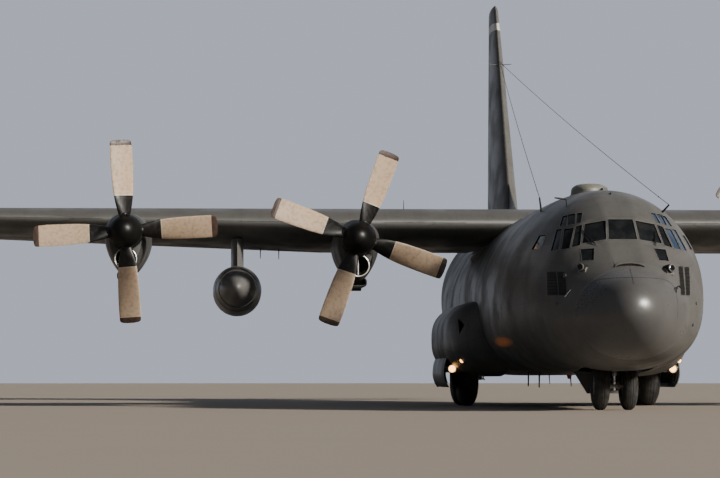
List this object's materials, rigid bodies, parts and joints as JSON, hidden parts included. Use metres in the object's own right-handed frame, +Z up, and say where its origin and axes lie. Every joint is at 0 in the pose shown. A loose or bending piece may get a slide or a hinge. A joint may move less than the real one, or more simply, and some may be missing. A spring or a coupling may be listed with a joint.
{
  "type": "military transport aircraft",
  "caption": "High-winged turboprop transport aircraft with a rear loading ramp, propellers, wing tanks and landing gear in side pods, parked on its wheels.",
  "frame": {"origin": "on the ground under the middle of the aircraft's length and span", "axes": "+X to the port wing tip, +Y aft, +Z up; the nose points along -Y"},
  "size_m": [20.205, 14.895, 5.83],
  "materials": {
    "radome_paint": "matte grey paint over a plastic nose cone",
    "grey_paint": "matte mid-grey paint, dusty, with dark streaks",
    "grey_light_alloy": "the same matte mid-grey paint over light alloy",
    "cabin_paint": "dull grey-green interior paint",
    "window_glass": "clear, dark from outside",
    "engine_steel": "plain metal block, closed in",
    "propeller_tan": "worn tan blades with black cuffs and a dark spinner",
    "leg_steel": "grey painted and bare steel",
    "wheel_metal": "grey cast wheel",
    "tyre_rubber": "black rubber, dusty",
    "cream_paint": "cream plastic"
  },
  "bodies": {
    "airframe": {"radome": "radome_paint", "cockpit_shell": "grey_paint", "cockpit_glazing": "window_glass", "paratroop_door_left": "grey_paint", "paratroop_door_right": "grey_paint", "centre_fuselage": "grey_paint", "cargo_floor": "cabin_paint", "aft_fuselage": "grey_light_alloy", "wing_left": "grey_light_alloy", "wing_right": "grey_light_alloy", "wing_centre": "grey_light_alloy", "tailplane": "grey_light_alloy", "fin": "grey_light_alloy", "nacelle_1": "grey_paint", "engine_1": "engine_steel", "nacelle_2": "grey_paint", "engine_2": "engine_steel", "nacelle_3": "grey_paint", "engine_3": "engine_steel", "nacelle_4": "grey_paint", "engine_4": "engine_steel", "external_tank_left": "grey_light_alloy", "external_tank_right": "grey_light_alloy", "sponson_left": "grey_paint", "main_legs_left": "leg_steel", "main_gear_door_left": "grey_paint", "sponson_right": "grey_paint", "main_legs_right": "leg_steel", "main_gear_door_right": "grey_paint", "nose_leg": "leg_steel", "nose_gear_door": "grey_paint", "flight_deck": "cabin_paint", "antenna_dome": "cream_paint"},
    "crew_door_leaf": {"crew_door": "grey_paint"},
    "ramp": {"cargo_ramp": "grey_light_alloy"},
    "upper_cargo_door": {"cargo_door": "grey_light_alloy"},
    "inner_flap_left": {"flap_inner_left": "grey_light_alloy"},
    "outer_flap_left": {"flap_outer_left": "grey_light_alloy"},
    "inner_flap_right": {"flap_inner_right": "grey_light_alloy"},
    "outer_flap_right": {"flap_outer_right": "grey_light_alloy"},
    "left_aileron": {"aileron_left": "grey_light_alloy"},
    "right_aileron": {"aileron_right": "grey_light_alloy"},
    "elevator_pair": {"elevators": "grey_light_alloy"},
    "rudder_leaf": {"rudder": "grey_light_alloy"},
    "screw_1": {"propeller_1": "propeller_tan"},
    "screw_2": {"propeller_2": "propeller_tan"},
    "screw_3": {"propeller_3": "propeller_tan"},
    "screw_4": {"propeller_4": "propeller_tan"},
    "wheel_front_left": {"main_wheel_front_left": "wheel_metal", "main_tyre_front_left": "tyre_rubber"},
    "wheel_rear_left": {"main_wheel_rear_left": "wheel_metal", "main_tyre_rear_left": "tyre_rubber"},
    "wheel_front_right": {"main_wheel_front_right": "wheel_metal", "main_tyre_front_right": "tyre_rubber"},
    "wheel_rear_right": {"main_wheel_rear_right": "wheel_metal", "main_tyre_rear_right": "tyre_rubber"},
    "nose_steering": {"nose_fork": "leg_steel"},
    "nose_wheels": {"nose_wheel_hubs": "wheel_metal", "nose_tyre_left": "tyre_rubber", "nose_tyre_right": "tyre_rubber"}
  },
  "joints": [
    {"name": "propeller_1_spin", "type": "hinge", "parent": "airframe", "child": "screw_1", "pos_m": [5.08, -3.0725, 1.965], "axis": [0, 1, 0], "continuous": true},
    {"name": "propeller_2_spin", "type": "hinge", "parent": "airframe", "child": "screw_2", "pos_m": [2.465, -3.0725, 1.895], "axis": [0, 1, 0], "continuous": true},
    {"name": "propeller_3_spin", "type": "hinge", "parent": "airframe", "child": "screw_3", "pos_m": [-2.465, -3.0725, 1.895], "axis": [0, 1, 0], "continuous": true},
    {"name": "propeller_4_spin", "type": "hinge", "parent": "airframe", "child": "screw_4", "pos_m": [-5.08, -3.0725, 1.965], "axis": [0, 1, 0], "continuous": true},
    {"name": "main_wheel_front_left_spin", "type": "hinge", "parent": "airframe", "child": "wheel_front_left", "pos_m": [1.085, -1.2675, 0.35063], "axis": [1, 0, 0], "continuous": true},
    {"name": "main_wheel_rear_left_spin", "type": "hinge", "parent": "airframe", "child": "wheel_rear_left", "pos_m": [1.085, -0.5055, 0.35063], "axis": [1, 0, 0], "continuous": true},
    {"name": "main_wheel_front_right_spin", "type": "hinge", "parent": "airframe", "child": "wheel_front_right", "pos_m": [-1.085, -1.2675, 0.35063], "axis": [1, 0, 0], "continuous": true},
    {"name": "main_wheel_rear_right_spin", "type": "hinge", "parent": "airframe", "child": "wheel_rear_right", "pos_m": [-1.085, -0.5055, 0.35063], "axis": [1, 0, 0], "continuous": true},
    {"name": "nose_steer", "type": "hinge", "parent": "airframe", "child": "nose_steering", "pos_m": [0, -5.7725, 0.35], "axis": [0, 0, 1], "range_deg": [-60, 60]},
    {"name": "nose_wheels_spin", "type": "hinge", "parent": "nose_steering", "child": "nose_wheels", "pos_m": [0, -5.7725, 0.24445], "axis": [1, 0, 0], "continuous": true},
    {"name": "aileron_left_turn", "type": "hinge", "parent": "airframe", "child": "left_aileron", "pos_m": [5.65, -0.35589, 2.07584], "axis": [-0.9963, 0.0815, -0.0257], "range_deg": [-25, 15]},
    {"name": "aileron_right_turn", "type": "hinge", "parent": "airframe", "child": "right_aileron", "pos_m": [-5.65, -0.35589, 2.07584], "axis": [-0.9963, -0.0815, 0.0257], "range_deg": [-25, 15]},
    {"name": "flap_inner_left_turn", "type": "hinge", "parent": "airframe", "child": "inner_flap_left", "pos_m": [1.94, -0.12242, 1.60207], "axis": [-1, 0, 0], "range_deg": [0, 36]},
    {"name": "flap_outer_left_turn", "type": "hinge", "parent": "airframe", "child": "outer_flap_left", "pos_m": [4.23, -0.3537, 1.67515], "axis": [-1, 0, 0], "range_deg": [0, 36]},
    {"name": "flap_inner_right_turn", "type": "hinge", "parent": "airframe", "child": "inner_flap_right", "pos_m": [-1.94, -0.12242, 1.60207], "axis": [-1, 0, 0], "range_deg": [0, 36]},
    {"name": "flap_outer_right_turn", "type": "hinge", "parent": "airframe", "child": "outer_flap_right", "pos_m": [-4.23, -0.3537, 1.67515], "axis": [-1, 0, 0], "range_deg": [0, 36]},
    {"name": "elevator_turn", "type": "hinge", "parent": "airframe", "child": "elevator_pair", "pos_m": [0, 6.2525, 2.51], "axis": [-1, 0, 0], "range_deg": [-40, 15]},
    {"name": "rudder_turn", "type": "hinge", "parent": "airframe", "child": "rudder_leaf", "pos_m": [0, 6.0025, 2.69], "axis": [0, 0.096, 0.9954], "range_deg": [-35, 35]},
    {"name": "crew_door_turn", "type": "hinge", "parent": "airframe", "child": "crew_door_leaf", "pos_m": [0.69374, -5.42305, 0.511], "axis": [0.1406, 0.9901, 0], "range_deg": [0, 95]},
    {"name": "ramp_turn", "type": "hinge", "parent": "airframe", "child": "ramp", "pos_m": [0, 1.3195, 0.38], "axis": [-1, 0, 0], "range_deg": [0, 28]},
    {"name": "cargo_door_turn", "type": "hinge", "parent": "airframe", "child": "upper_cargo_door", "pos_m": [0, 4.8325, 1.65], "axis": [-1, 0, 0], "range_deg": [0, 20]}
  ],
  "couplings": [
    {"joint": "flap_outer_left_turn", "follows": "flap_inner_left_turn", "ratio": 1},
    {"joint": "flap_inner_right_turn", "follows": "flap_inner_left_turn", "ratio": 1},
    {"joint": "flap_outer_right_turn", "follows": "flap_inner_left_turn", "ratio": 1}
  ]
}
